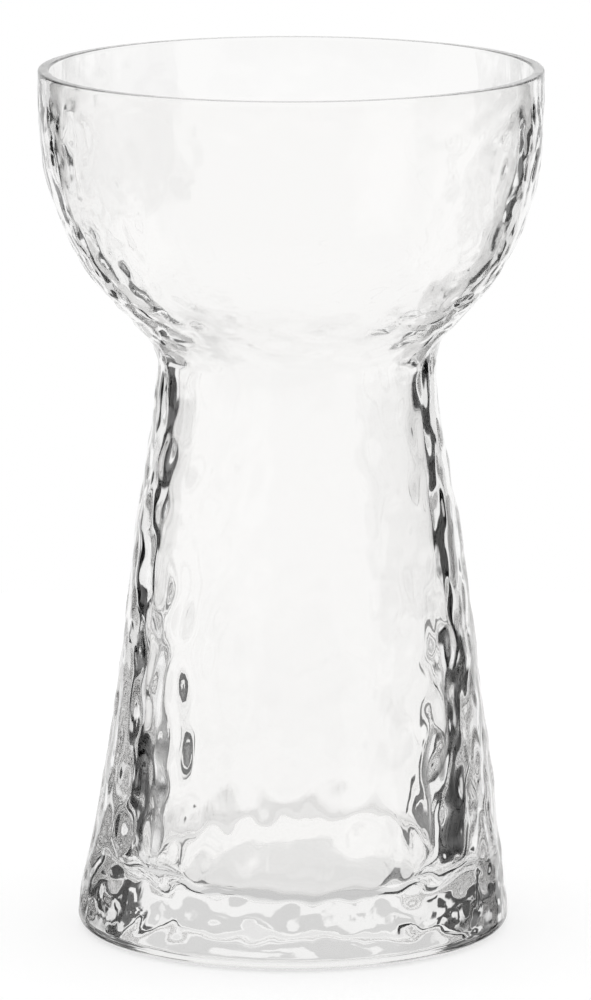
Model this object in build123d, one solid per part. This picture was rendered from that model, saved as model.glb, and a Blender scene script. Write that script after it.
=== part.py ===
from build123d import *
from math import cos, radians, sin
import os

# Hyacinth forcing vase in clear hammered glass, in millimetres.
# The vase stands on z = 0 with its axis on Z. It is a body of revolution: a thick foot, a skirt whose
# wall thickens downwards round a nearly straight bore, a narrow throat that carries the bulb, a deep
# cup round the bulb, and a fire-polished lip.
# The glass is cut square to its axis where one forming zone passes into the next, and each zone is
# a solid of its own. Neighbouring zones meet face to face over the whole cut.

# Overall size
vase_height = 150.0
lip_radius = 43.5
foot_radius = 37.5
throat_radius = 24.1

# Foot
foot_edge_radius = 2.3       # rounding between the standing ring and the side
skirt_lean = 8.0             # degrees, how far the side leans in above the foot edge
standing_ring_width = 4.2
push_up_height = 1.6         # hollow under the middle of the foot
floor_height = 8.4           # glass under the water
floor_corner_radius = 5.0    # rounding between the floor and the bore
foot_joint_height = floor_height + floor_corner_radius

# Skirt round the roots
throat_height = 99.5         # where the outside is narrowest
skirt_outside = [(34.5, 22.0), (30.6, 50.0), (27.1, 76.0)]
bore_radius = 25.4           # at the floor corner
bore_bulge = (26.0, 42.0)    # widest place of the bore
bore_shoulder = (23.1, 79.0)

# Throat
throat_wall = 3.3
throat_joint_below = 94.0
throat_joint_above = 105.0
crease = (25.3, 103.3)       # outside corner where the cup springs from the throat

# Cup round the bulb
cup_outside = [(32.2, 111.0), (38.3, 120.0), (42.0, 130.5)]
cup_inside = [(28.6, 110.6), (35.2, 119.4), (39.3, 130.5)]
cup_entry = (23.1, 104.9)    # inside, just above the throat

# Lip
lip_wall = 2.2
lip_joint_height = 147.0

# Directions along the outline, as (radius, height)
up = (0, 1)
down = (0, -1)
outwards = (1, 0)
outwards_and_down = (1, -0.12)       # where the push-up meets the standing ring
into_the_cup = (0.62, 0.78)          # where the cup springs from the crease


def outline():
    """Half of the vase's section, as a closed line from the axis and back, on the XZ plane."""
    ring_outer = foot_radius - foot_edge_radius
    ring_inner = ring_outer - standing_ring_width
    lip_round = lip_wall / 2
    lip_foot = vase_height - lip_round
    throat_bore = throat_radius - throat_wall

    lean = radians(skirt_lean)
    leaning_in = (-sin(lean), cos(lean))

    hollow_centre = (0, push_up_height)
    foot_side = (
        ring_outer + foot_edge_radius * cos(lean),
        foot_edge_radius * (1 + sin(lean)),
    )
    throat_outside = (throat_radius, throat_height)
    throat_inside = (throat_bore, throat_height)
    lip_outside = (lip_radius, lip_foot)
    lip_top = (lip_radius - lip_round, vase_height)
    lip_inside = (lip_radius - lip_wall, lip_foot)
    bore_foot = (bore_radius, foot_joint_height)
    floor_edge = (bore_radius - floor_corner_radius, floor_height)
    floor_centre = (0, floor_height)

    underside = Spline(hollow_centre, (ring_inner, 0), tangents=[outwards, outwards_and_down])
    standing_ring = Line((ring_inner, 0), (ring_outer, 0))
    foot_edge = RadiusArc((ring_outer, 0), foot_side, -foot_edge_radius)
    skirt = Spline(foot_side, *skirt_outside, throat_outside, tangents=[leaning_in, up])
    spring = Spline(throat_outside, crease, tangents=[up, into_the_cup])
    cup = Spline(crease, *cup_outside, lip_outside, tangents=[into_the_cup, up])
    lip = ThreePointArc(lip_outside, lip_top, lip_inside)
    cup_wall = Spline(
        lip_inside, *reversed(cup_inside), cup_entry, throat_inside, tangents=[down, down]
    )
    bore = Spline(throat_inside, bore_shoulder, bore_bulge, bore_foot, tangents=[down, down])
    corner = RadiusArc(bore_foot, floor_edge, floor_corner_radius)
    floor = Line(floor_edge, floor_centre)
    axis = Line(floor_centre, hollow_centre)
    return [
        underside, standing_ring, foot_edge, skirt, spring, cup,
        lip, cup_wall, bore, corner, floor, axis,
    ]


def whole_glass():
    """The vase in one piece, the section turned once round the axis."""
    section = make_face(outline())
    return revolve(Plane.XZ * section, Axis.Z, 360)


def zone(glass, low, high):
    """The part of the glass between two heights."""
    reach = 2 * lip_radius
    slab = Pos(0, 0, (low + high) / 2) * Box(2 * reach, 2 * reach, high - low)
    return glass & slab


def write_zones():
    """Writes each forming zone of the glass as its own file."""
    margin = 1.0    # past the ends of the vase
    zones = {
        "foot": (-margin, foot_joint_height),
        "root_chamber": (foot_joint_height, throat_joint_below),
        "throat": (throat_joint_below, throat_joint_above),
        "bulb_cup": (throat_joint_above, lip_joint_height),
        "lip": (lip_joint_height, vase_height + margin),
    }
    glass = whole_glass()
    print(f"whole glass: {glass.volume / 1000:.1f} cm3")
    os.makedirs("parts", exist_ok=True)
    for name, (low, high) in zones.items():
        piece = zone(glass, low, high)
        solids = piece.solids()
        print(f"{name}: {len(solids)} solid, {piece.volume / 1000:.1f} cm3")
        export_step(piece, f"parts/{name}.step")


write_zones()
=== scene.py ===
import math

import bpy
import numpy as np
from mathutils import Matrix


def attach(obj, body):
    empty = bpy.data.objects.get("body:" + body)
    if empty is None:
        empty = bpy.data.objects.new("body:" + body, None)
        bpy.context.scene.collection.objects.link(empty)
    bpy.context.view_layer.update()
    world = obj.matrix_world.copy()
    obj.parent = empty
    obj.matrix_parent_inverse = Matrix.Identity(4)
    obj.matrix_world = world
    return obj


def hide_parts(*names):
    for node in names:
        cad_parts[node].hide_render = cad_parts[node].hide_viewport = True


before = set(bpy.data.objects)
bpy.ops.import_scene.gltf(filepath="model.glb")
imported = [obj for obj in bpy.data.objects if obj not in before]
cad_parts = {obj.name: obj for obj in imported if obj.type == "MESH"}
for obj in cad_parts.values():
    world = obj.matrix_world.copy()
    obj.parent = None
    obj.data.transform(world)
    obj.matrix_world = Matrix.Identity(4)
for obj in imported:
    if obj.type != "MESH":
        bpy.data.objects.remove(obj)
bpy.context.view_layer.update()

mm = 0.001

# The vase's section, in millimetres as (radius, height), from the foot up to the lip and back down inside
section = {
    "height": 150.0,
    "lipRadius": 43.4,
    "lipWall": 1.9,
    "lipRound": 0.35,
    "footRadius": 37.45,
    "footEdge": 2.3,            # rounding between the standing ring and the side
    "sideLean": 8.0,            # degrees, how far the side leans in above the foot
    "standingRing": 4.2,        # its width
    "pushUp": 1.6,              # hollow under the middle of the foot
    "intoRing": (1, -0.12),     # direction of the push-up where it meets the standing ring
    "skirtOutside": [(34.5, 22.0), (30.6, 50.0), (27.1, 76.0)],
    "throat": (24.1, 99.5),
    "throatWall": 3.3,
    "crease": (25.3, 103.3),    # where the cup springs from the throat
    "intoCup": (0.62, 0.78),    # direction of the cup there
    "cupOutside": [(32.2, 111.0), (38.3, 120.0), (42.0, 130.5)],
    "cupInside": [(39.3, 130.5), (35.2, 119.4), (28.6, 110.6), (23.1, 104.9)],
    "boreShoulder": (23.1, 79.0),
    "boreBulge": (26.0, 42.0),
    "boreRadius": 25.4,         # at the floor corner
    "floorHeight": 8.4,
    "floorCorner": 5.0,         # rounding between the bore and the floor
}

# The hammered relief, in millimetres. Each band of waves has its shortest and longest length from crest to
# crest, and a depth at some heights: how far the surface strays from true on average there.
relief = {
    "seed": 11,
    "wavesEach": 56,
    "outside": [
        {
            "lengths": (8.5, 15.0),
            "depth": [(2, 0), (6, 0.06), (14, 0.09), (98, 0.09), (106, 0.04), (144, 0.05), (148.3, 0)],
        },
        {
            "lengths": (6.5, 10.0),
            "depth": [(98, 0), (102, 0.09), (112, 0.09), (118, 0)],
        },
        {
            "lengths": (4.1, 6.8),
            "depth": [
                (2, 0), (5, 0.07), (14, 0.10), (98, 0.095),
                (102, 0.05), (112, 0.05), (118, 0.06), (144, 0.05), (148.3, 0),
            ],
        },
        {
            "lengths": (2.4, 3.3),
            "depth": [
                (2, 0), (4, 0.025), (12, 0.02), (18, 0.015), (98, 0.015),
                (118, 0.03), (144, 0.025), (148.3, 0),
            ],
        },
    ],
    "inside": [
        {
            "lengths": (8.0, 13.0),
            "depth": [(98, 0.02), (104, 0.05), (112, 0.05), (118, 0.03), (144, 0.02), (148.3, 0)],
        },
        {
            "lengths": (4.8, 7.0),
            "depth": [(98, 0.015), (104, 0.05), (112, 0.05), (118, 0.018), (144, 0.01), (148.3, 0)],
        },
    ],
    # How much longer the waves are up and down than round, from each height upwards
    "stretch": [(0.0, 0.9), (14.0, 1.5), (99.5, 0.42), (113.0, 1.1)],
    "slant": (0.1, 0.6),        # no relief below the first share of upright, all of it above the second
    "level": 0.35,              # share of the relief that is left on level surfaces inside
    "widest": 43.45,            # no hill stands out farther than this from the axis
}

# How far the blown glass leans off its axis to the right, at each height
bow = [(0.0, 0.3), (25.0, 1.2), (62.0, 1.2), (99.5, 0.9), (125.0, 0.35), (150.0, 0.0)]

# How finely the glass is meshed: places round the axis, rows from under the foot over the lip to the floor,
# and how close the rows lie in each stretch
fineness = {"round": 284, "along": 350, "outside": 1.0, "inside": 0.55, "flat": 0.3, "edge": 2.5, "lip": 8.0}


def smoothThrough(points, firstWay, lastWay, steps=160):
    # A cubic for every span, run by the straight length between points. The slopes where spans
    # meet come from one set of equations, so that the curve bends evenly through each point.
    p = np.array(points, float)
    gap = np.linalg.norm(np.diff(p, axis=0), axis=1)
    knot = np.concatenate([[0.0], np.cumsum(gap)])
    count = len(p)
    matrix = np.zeros((count, count))
    right = np.zeros((count, 2))
    matrix[0, 0] = matrix[-1, -1] = 1.0
    right[0] = np.array(firstWay) / np.linalg.norm(firstWay)
    right[-1] = np.array(lastWay) / np.linalg.norm(lastWay)
    i = np.arange(1, count - 1)
    before, after = gap[:-1], gap[1:]
    matrix[i, i - 1] = after
    matrix[i, i] = 2 * (before + after)
    matrix[i, i + 1] = before
    rise = np.diff(p, axis=0) / gap[:, None]
    right[1:-1] = 3 * (after[:, None] * rise[:-1] + before[:, None] * rise[1:])
    slope = np.linalg.solve(matrix, right)
    at = np.linspace(0, knot[-1], steps * (count - 1) + 1)
    k = np.clip(np.searchsorted(knot, at, "right") - 1, 0, count - 2)
    t = ((at - knot[k]) / gap[k])[:, None]
    g = gap[k][:, None]
    return (
        (2 * t**3 - 3 * t**2 + 1) * p[k]
        + (t**3 - 2 * t**2 + t) * g * slope[k]
        + (3 * t**2 - 2 * t**3) * p[k + 1]
        + (t**3 - t**2) * g * slope[k + 1]
    )


def straight(start, end, steps):
    # Points at even steps from start to end.
    return np.linspace(start, end, steps)


def arc(centre, radius, fromAngle, toAngle, steps=60):
    # Points at a fixed distance from the centre, with the angle running evenly.
    a = np.radians(np.linspace(fromAngle, toAngle, steps))
    return np.array(centre) + radius * np.column_stack([np.cos(a), np.sin(a)])


def sectionLines(s):
    # The half section as lines that follow each other from the axis under the foot, round the
    # outside, over the lip and down inside to the axis again.
    lean = math.radians(s["sideLean"])
    ringOuter = s["footRadius"] - s["footEdge"]
    ringInner = ringOuter - s["standingRing"]
    footSide = (ringOuter + s["footEdge"] * math.cos(lean), s["footEdge"] * (1 + math.sin(lean)))
    lipFoot = s["height"] - s["lipRound"]
    lipInner = s["lipRadius"] - s["lipWall"]
    throatInside = (s["throat"][0] - s["throatWall"], s["throat"][1])
    cornerHeight = s["floorHeight"] + s["floorCorner"]
    cornerInner = s["boreRadius"] - s["floorCorner"]
    up, down, outwards = (0, 1), (0, -1), (1, 0)
    leaningIn = (-math.sin(lean), math.cos(lean))
    return {
        "under": smoothThrough([(0, s["pushUp"]), (ringInner, 0)], outwards, s["intoRing"]),
        "ring": straight((ringInner, 0), (ringOuter, 0), 40),
        "edge": arc((ringOuter, s["footEdge"]), s["footEdge"], -90, s["sideLean"]),
        "skirt": smoothThrough([footSide, *s["skirtOutside"], s["throat"]], leaningIn, up),
        "spring": smoothThrough([s["throat"], s["crease"]], up, s["intoCup"]),
        "cup": smoothThrough([s["crease"], *s["cupOutside"], (s["lipRadius"], lipFoot)], s["intoCup"], up),
        "lip": np.concatenate(
            [
                arc((s["lipRadius"] - s["lipRound"], lipFoot), s["lipRound"], 0, 90),
                arc((lipInner + s["lipRound"], lipFoot), s["lipRound"], 90, 180),
            ]
        ),
        "cupWall": smoothThrough([(lipInner, lipFoot), *s["cupInside"], throatInside], down, down),
        "bore": smoothThrough(
            [throatInside, s["boreShoulder"], s["boreBulge"], (s["boreRadius"], cornerHeight)], down, down
        ),
        "corner": arc((cornerInner, cornerHeight), s["floorCorner"], 0, -90),
        "floor": straight((cornerInner, s["floorHeight"]), (0, s["floorHeight"]), 200),
    }


def evenSteps(line, steps, weight):
    # Points along a line whose spacing is inverse to the weight at each place.
    gap = np.linalg.norm(np.diff(line, axis=0), axis=1)
    run = np.concatenate([[0.0], np.cumsum(gap * (weight[1:] + weight[:-1]) / 2)])
    at = np.linspace(0, run[-1], steps)
    return np.column_stack([np.interp(at, run, line[:, 0]), np.interp(at, run, line[:, 1])])


def halfSection(s, f):
    # The section's lines joined into one, with its points spread by the fineness of each stretch.
    lines = sectionLines(s)
    line = np.concatenate([v if i == 0 else v[1:] for i, v in enumerate(lines.values())])
    name = np.concatenate([[k] * (len(v) - (i > 0)) for i, (k, v) in enumerate(lines.items())])
    weight = np.full(len(name), f["outside"])
    weight[np.isin(name, ["cupWall", "bore", "corner"])] = f["inside"]
    weight[np.isin(name, ["under", "ring", "floor"])] = f["flat"]
    weight[name == "edge"] = f["edge"]
    weight[name == "lip"] = f["lip"]
    return evenSteps(line, f["along"], weight)


def ripples(place, height, bands, each, rng):
    # A sum of plane waves in space. Their directions are spread evenly over a ball, their lengths
    # lie in a band and their phases are random, so the sum has hills and hollows of one size with
    # no grain. Each band is scaled to its depth at the height.
    total = np.zeros(len(place))
    for band in bands:
        way = rng.normal(size=(each, 3))
        way /= np.linalg.norm(way, axis=1)[:, None]
        length = rng.uniform(*band["lengths"], each)
        phase = rng.uniform(0, 2 * np.pi, each)
        wave = np.cos(place @ (way * (2 * np.pi / length)[:, None]).T + phase)
        total += np.interp(height, *zip(*band["depth"])) * np.sqrt(2 / each) * wave.sum(axis=1)
    return total


def fade(value, start, end):
    # 0 before start, 1 after end, and a smooth rise between.
    t = np.clip((value - start) / (end - start), 0, 1)
    return t * t * (3 - 2 * t)


def squeezedHeight(height, stretch, top):
    # The run of one over the stretch from the bottom up, so that waves in it come out stretched.
    start = np.array([h for h, _ in stretch] + [top])
    run = np.concatenate([[0.0], np.cumsum(np.diff(start) / [k for _, k in stretch])])
    return np.interp(height, start, run)


def turned(radial, upwards, ring):
    # A point or direction (radial, up) of the section at every angle A: (radial cos A, radial sin A, up).
    return np.stack(
        [
            radial[:, None] * ring[:, 0],
            radial[:, None] * ring[:, 1],
            np.repeat(upwards[:, None], len(ring), 1),
        ],
        -1,
    )


def reliefDepth(place, R, tilt, outside, r, top):
    # How far each point moves along the surface's normal: ripples of the squeezed space, less
    # where the surface lies flat, and never past the widest radius outside.
    rng = np.random.default_rng(r["seed"])
    squeezed = place.copy()
    squeezed[..., 2] = squeezedHeight(place[..., 2], r["stretch"], top)
    squeezed = squeezed.reshape(-1, 3)
    height = place[..., 2].ravel()
    outer = ripples(squeezed, height, r["outside"], r["wavesEach"], rng).reshape(place.shape[:2])
    inner = ripples(squeezed, height, r["inside"], r["wavesEach"], rng).reshape(place.shape[:2])
    upright = fade(np.abs(tilt), *r["slant"])[:, None]
    outer *= upright
    inner *= np.maximum(upright, r["level"])
    return np.where(outside, np.minimum(outer, r["widest"] - R[:, None]), inner)


def shellFaces(rows, cols):
    # Four-cornered faces between the rows, and a fan of triangles at either end to a point on the axis.
    i, j = np.meshgrid(np.arange(rows - 1), np.arange(cols), indexing="ij")
    here, right = i * cols + j, i * cols + (j + 1) % cols
    quads = np.stack([here, right, right + cols, here + cols], -1).reshape(-1, 4)
    j = np.arange(cols)
    points = rows * cols
    lastRow = points - cols
    first = np.stack([np.full(cols, points), (j + 1) % cols, j], -1)
    last = np.stack([np.full(cols, points + 1), lastRow + j, lastRow + (j + 1) % cols], -1)
    return quads, np.concatenate([first, last])


def blowVase(s, r, f, bowed):
    # The section turned once round the axis. Each point then moves along the surface's normal by
    # the relief, and to the right by the bow at its height.
    half = halfSection(s, f)
    tangent = np.gradient(half, axis=0)
    tangent /= np.linalg.norm(tangent, axis=1)[:, None]
    normal = np.column_stack([tangent[:, 1], -tangent[:, 0]])     # points out of the glass

    angle = np.arange(f["round"]) * 2 * np.pi / f["round"]
    ring = np.column_stack([np.cos(angle), np.sin(angle)])
    between = np.arange(1, len(half) - 1)                         # without the two ends on the axis
    R, Z = half[between].T
    place = turned(R, Z, ring)
    out = turned(normal[between, 0], normal[between, 1], ring)
    outside = (between <= np.argmax(half[:, 1]))[:, None]
    depth = reliefDepth(place, R, normal[between, 0], outside, r, s["height"])
    place = place + out * depth[:, :, None]
    level = (1, 0)
    lean = smoothThrough(bowed, level, level)
    place[..., 0] += np.interp(place[..., 2], lean[:, 0], lean[:, 1])

    ends = [[0, 0, half[0, 1]], [0, 0, half[-1, 1]]]
    vertices = np.concatenate([place.reshape(-1, 3), ends]) * mm
    quads, fans = shellFaces(*place.shape[:2])
    mesh = bpy.data.meshes.new("vase")
    mesh.from_pydata(vertices.tolist(), [], quads.tolist() + fans.tolist())
    mesh.polygons.foreach_set("use_smooth", np.ones(len(mesh.polygons), bool))
    mesh.update()
    vase = bpy.data.objects.new("vase", mesh)
    bpy.context.scene.collection.objects.link(vase)
    print("glass:", len(mesh.vertices), "points,", 2 * len(quads) + len(fans), "triangles")
    return vase


def feed(tree, socket, value):
    # A plain value is set on the socket, and another node's output is linked to it.
    if isinstance(value, bpy.types.NodeSocket):
        tree.links.new(value, socket)
    else:
        socket.default_value = value


def calc(tree, operation, *values):
    # The operation on one or two values.
    node = tree.nodes.new("ShaderNodeMath")
    node.operation = operation
    for socket, value in zip(node.inputs, values):
        feed(tree, socket, value)
    return node.outputs[0]


def ramp(tree, value, start, end, low=0.0, high=1.0, kind="SMOOTHSTEP"):
    # From low at start to high at end, and level beyond them.
    node = tree.nodes.new("ShaderNodeMapRange")
    node.interpolation_type = kind
    settings = {"Value": value, "From Min": start, "From Max": end, "To Min": low, "To Max": high}
    for name, setting in settings.items():
        feed(tree, node.inputs[name], setting)
    return node.outputs["Result"]


def split(tree, vector):
    # The three parts of a vector.
    node = tree.nodes.new("ShaderNodeSeparateXYZ")
    feed(tree, node.inputs[0], vector)
    return node.outputs


def seenInGlass(tree):
    # 1 for rays that a glossy surface or glass has sent on, 0 for the others.
    rays = tree.nodes.new("ShaderNodeLightPath")
    return calc(tree, "MAXIMUM", rays.outputs["Is Glossy Ray"], rays.outputs["Is Transmission Ray"])


# Clear glass
glassLook = {
    "ior": 1.52,
    "colour": (1.0, 0.997, 0.992, 1.0),
    "tint": (0.907, 0.905, 0.903, 1.0),
    "tintDensity": 13.0,
    "grain": 0.0023,                # size of the finest dimples, in metres
    "grainDetail": 1.0,
    "grainDepth": 0.000006,
    "smoothFrom": (0.143, 0.147),   # the fire has smoothed the glass above this height
}


def clearGlass(look):
    m = bpy.data.materials.new("clearGlass")
    m.use_nodes = True
    tree = m.node_tree
    shader = tree.nodes["Principled BSDF"]
    shader.inputs["Base Color"].default_value = look["colour"]
    shader.inputs["Roughness"].default_value = 0.0
    shader.inputs["IOR"].default_value = look["ior"]
    shader.inputs["Transmission Weight"].default_value = 1.0

    at = tree.nodes.new("ShaderNodeTexCoord").outputs["Object"]
    dimples = tree.nodes.new("ShaderNodeTexNoise")
    feed(tree, dimples.inputs["Scale"], 1 / look["grain"])
    feed(tree, dimples.inputs["Detail"], look["grainDetail"])
    feed(tree, dimples.inputs["Vector"], at)
    unfired = ramp(tree, split(tree, at)["Z"], *look["smoothFrom"], 1.0, 0.0, "LINEAR")
    bump = tree.nodes.new("ShaderNodeBump")
    feed(tree, bump.inputs["Distance"], look["grainDepth"])
    feed(tree, bump.inputs["Height"], calc(tree, "MULTIPLY", dimples.outputs["Fac"], unfired))
    feed(tree, shader.inputs["Normal"], bump.outputs["Normal"])

    body = tree.nodes.new("ShaderNodeVolumeAbsorption")
    body.inputs["Color"].default_value = look["tint"]
    body.inputs["Density"].default_value = look["tintDensity"]
    feed(tree, tree.nodes["Material Output"].inputs["Volume"], body.outputs["Volume"])
    return m


vase = blowVase(section, relief, fineness, bow)
vase.data.materials.append(clearGlass(glassLook))
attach(vase, "root")
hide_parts("foot", "root_chamber", "throat", "bulb_cup", "lip")
print("glass done")

# A round pale table, in metres
table = {
    "radius": 0.30,
    "drop": 0.0002,             # how far it lies under the foot
    "spokes": 96,
    "rings": 3,
    "colour": (0.45, 0.45, 0.45, 1.0),
    "lift": 0.60,               # a glow that makes the colour up to white, but lights nothing
    # A dark card that lies to the left behind the vase and is seen only through the glass
    "card": {"centre": (-0.0629, 0.0233), "turn": 45, "halfSize": (0.014, 0.019), "edge": 0.005},
    # The vase shades the table round its foot, as seen through the glass
    "shade": {"from": 0.034, "to": 0.056, "tone": 0.80},
}


def paleTable(t):
    # The camera sees the pale paint and the glow. Rays out of the glass pass on to the studio, held
    # back by the card and the shade.
    m = bpy.data.materials.new("paleTable")
    m.use_nodes = True
    tree = m.node_tree
    tree.nodes.remove(tree.nodes["Principled BSDF"])
    paint = tree.nodes.new("ShaderNodeBsdfDiffuse")
    paint.inputs["Color"].default_value = t["colour"]
    glow = tree.nodes.new("ShaderNodeEmission")
    rays = tree.nodes.new("ShaderNodeLightPath")
    seen = calc(tree, "SUBTRACT", 1.0, rays.outputs["Is Diffuse Ray"])
    feed(tree, glow.inputs["Strength"], calc(tree, "MULTIPLY", seen, t["lift"]))
    painted = tree.nodes.new("ShaderNodeAddShader")
    feed(tree, painted.inputs[0], paint.outputs[0])
    feed(tree, painted.inputs[1], glow.outputs[0])

    card, shade = t["card"], t["shade"]
    at = tree.nodes.new("ShaderNodeTexCoord").outputs["Object"]
    onCard = tree.nodes.new("ShaderNodeMapping")
    onCard.vector_type = "TEXTURE"
    onCard.inputs["Location"].default_value = (*card["centre"], 0)
    onCard.inputs["Rotation"].default_value = (0, 0, math.radians(card["turn"]))
    feed(tree, onCard.inputs["Vector"], at)
    beside = [
        ramp(tree, calc(tree, "ABSOLUTE", way), half - card["edge"], half + card["edge"])
        for way, half in zip(split(tree, onCard.outputs["Vector"]), card["halfSize"])
    ]
    reach = tree.nodes.new("ShaderNodeVectorMath")
    reach.operation = "LENGTH"
    feed(tree, reach.inputs[0], at)
    lit = ramp(tree, reach.outputs["Value"], shade["from"], shade["to"], shade["tone"], 1.0)
    clear = tree.nodes.new("ShaderNodeBsdfTransparent")
    feed(tree, clear.inputs["Color"], calc(tree, "MULTIPLY", calc(tree, "MAXIMUM", *beside), lit))

    pick = tree.nodes.new("ShaderNodeMixShader")
    feed(tree, pick.inputs[0], seenInGlass(tree))
    feed(tree, pick.inputs[1], painted.outputs[0])
    feed(tree, pick.inputs[2], clear.outputs[0])
    feed(tree, tree.nodes["Material Output"].inputs["Surface"], pick.outputs[0])
    return m


def laidTable(t):
    # A disc of rings and spokes: radius times (cos, sin) of the angle.
    spokes, rings = t["spokes"], t["rings"]
    a = np.arange(spokes) * 2 * np.pi / spokes
    radii = t["radius"] * np.linspace(1 / rings, 1, rings)
    points = np.concatenate(
        [[[0, 0, -t["drop"]]]]
        + [np.column_stack([q * np.cos(a), q * np.sin(a), np.full(spokes, -t["drop"])]) for q in radii]
    )
    k = np.arange(spokes)
    after = (k + 1) % spokes
    faces = np.column_stack([np.zeros(spokes, int), 1 + k, 1 + after]).tolist()
    for q in range(rings - 1):
        low, high = 1 + q * spokes, 1 + (q + 1) * spokes
        faces += np.column_stack([low + k, high + k, high + after, low + after]).tolist()
    mesh = bpy.data.meshes.new("table")
    mesh.from_pydata(points.tolist(), [], faces)
    mesh.update()
    mesh.materials.append(paleTable(t))
    top = bpy.data.objects.new("table", mesh)
    bpy.context.scene.collection.objects.link(top)
    return top


tableTop = laidTable(table)
print("table done")

# The studio round the vase. A card's numbers are its azimuth from +X towards +Y, its half width, its
# lowest and highest elevation and the softness of its edge, all in degrees, and its tone. Every card lies
# over the ones before it.
studio = {
    "base": 0.93,
    "cards": {
        "ceiling": (270, 190, 42, 100, 8, 1.0),
        "room": (270, 75, -60, 5, 6, 0.66),
        "lampInRoom": (270, 95, -5, 60, 5, 1.0),
        "backdrop": (90, 28, -60, 100, 2, 0.97),
        "stripeOnBackdrop": (90, 28, 12, 23, 1, 0.72),
        "curtainRight": (349, 21, -8, 32, 3, 0.15),
        "underneath": (270, 190, -100, -47, 2, 0.72),
        "paperUnderneath": (90, 16, -66, -44, 4, 0.88),
        "lowFlagLeft": (129, 17, -44, -19, 1.2, 0.004),
        "lowFlagRight": (51, 17, -44, -19, 1.2, 0.004),
        "flagLeft": (130.5, 8.5, -22, 3, 1.2, 0.004),
        "flagRight": (47.5, 6.5, -20, 3, 1.2, 0.004),
        "highFlagLeft": (130, 6.5, 2, 22, 1.2, 0.05),
        "highFlagRight": (50, 6.5, 2, 22, 1.2, 0.05),
        "sideFlagLeft": (152, 14, -8.5, 18, 1.5, 0.015),
        "sideFlagRight": (25, 17, -8.5, 18, 1.5, 0.015),
        "gapInLowFlag": (138, 9, -44, -16, 1.5, 0.85),
        "openLeft": (180, 13, -30, 14, 3, 0.95),
        "openRight": (315, 12, -38, 2, 3, 0.95),
    },
}


def lightStudio(st):
    # The camera and the table see plain white, and rays out of the glass see the cards. A card covers
    # a direction by the product of three ramps: across its width, over its low edge and under its high one.
    world = bpy.data.worlds.new("studio")
    bpy.context.scene.world = world
    world.use_nodes = True
    tree = world.node_tree
    tree.nodes.clear()
    x, y, z = split(tree, tree.nodes.new("ShaderNodeTexCoord").outputs["Generated"])
    level = calc(tree, "SQRT", calc(tree, "ADD", calc(tree, "MULTIPLY", x, x), calc(tree, "MULTIPLY", y, y)))
    degrees = 180 / math.pi
    rise = calc(tree, "MULTIPLY", calc(tree, "ARCTAN2", z, level), degrees)
    tone = st["base"]
    for azimuth, halfWidth, low, high, edge, cardTone in st["cards"].values():
        toX, toY = math.cos(math.radians(azimuth)), math.sin(math.radians(azimuth))
        along = calc(tree, "ADD", calc(tree, "MULTIPLY", x, toX), calc(tree, "MULTIPLY", y, toY))
        across = calc(tree, "SUBTRACT", calc(tree, "MULTIPLY", y, toX), calc(tree, "MULTIPLY", x, toY))
        turn = calc(tree, "MULTIPLY", calc(tree, "ARCTAN2", across, along), degrees)
        inWidth = ramp(tree, calc(tree, "ABSOLUTE", turn), halfWidth + edge, halfWidth - edge)
        overLow = ramp(tree, rise, low - edge, low + edge)
        underHigh = ramp(tree, rise, high + edge, high - edge)
        cover = calc(tree, "MULTIPLY", inWidth, calc(tree, "MULTIPLY", overLow, underHigh))
        change = calc(tree, "MULTIPLY", cover, calc(tree, "SUBTRACT", cardTone, tone))
        tone = calc(tree, "ADD", tone, change)
    fromWhite = calc(tree, "MULTIPLY", seenInGlass(tree), calc(tree, "SUBTRACT", tone, 1.0))
    light = tree.nodes.new("ShaderNodeBackground")
    light.inputs["Color"].default_value = (1, 1, 1, 1)
    feed(tree, light.inputs["Strength"], calc(tree, "ADD", 1.0, fromWhite))
    feed(tree, tree.nodes.new("ShaderNodeOutputWorld").inputs["Surface"], light.outputs[0])


lightStudio(studio)
print("studio done")

# The camera's place in millimetres, how far it looks down in degrees, and its lens on a film 36 mm high
camera = {"place": (0.76, -1365.62, 330.52), "down": 10.6076, "lens": 289.256, "film": 36, "farthest": 20}


def setCamera(c):
    data = bpy.data.cameras.new("camera")
    data.lens = c["lens"]
    data.sensor_width = c["film"]
    data.clip_end = c["farthest"]
    o = bpy.data.objects.new("camera", data)
    o.location = [v * mm for v in c["place"]]
    o.rotation_euler = (math.radians(90 - c["down"]), 0, 0)
    bpy.context.scene.collection.objects.link(o)
    bpy.context.scene.camera = o


setCamera(camera)
bpy.context.scene.view_settings.view_transform = "Standard"
roundTrips = 32      # light goes round many times inside the thick foot
for kind in ("max_bounces", "transmission_bounces", "glossy_bounces"):
    setattr(bpy.context.scene.cycles, kind, roundTrips)
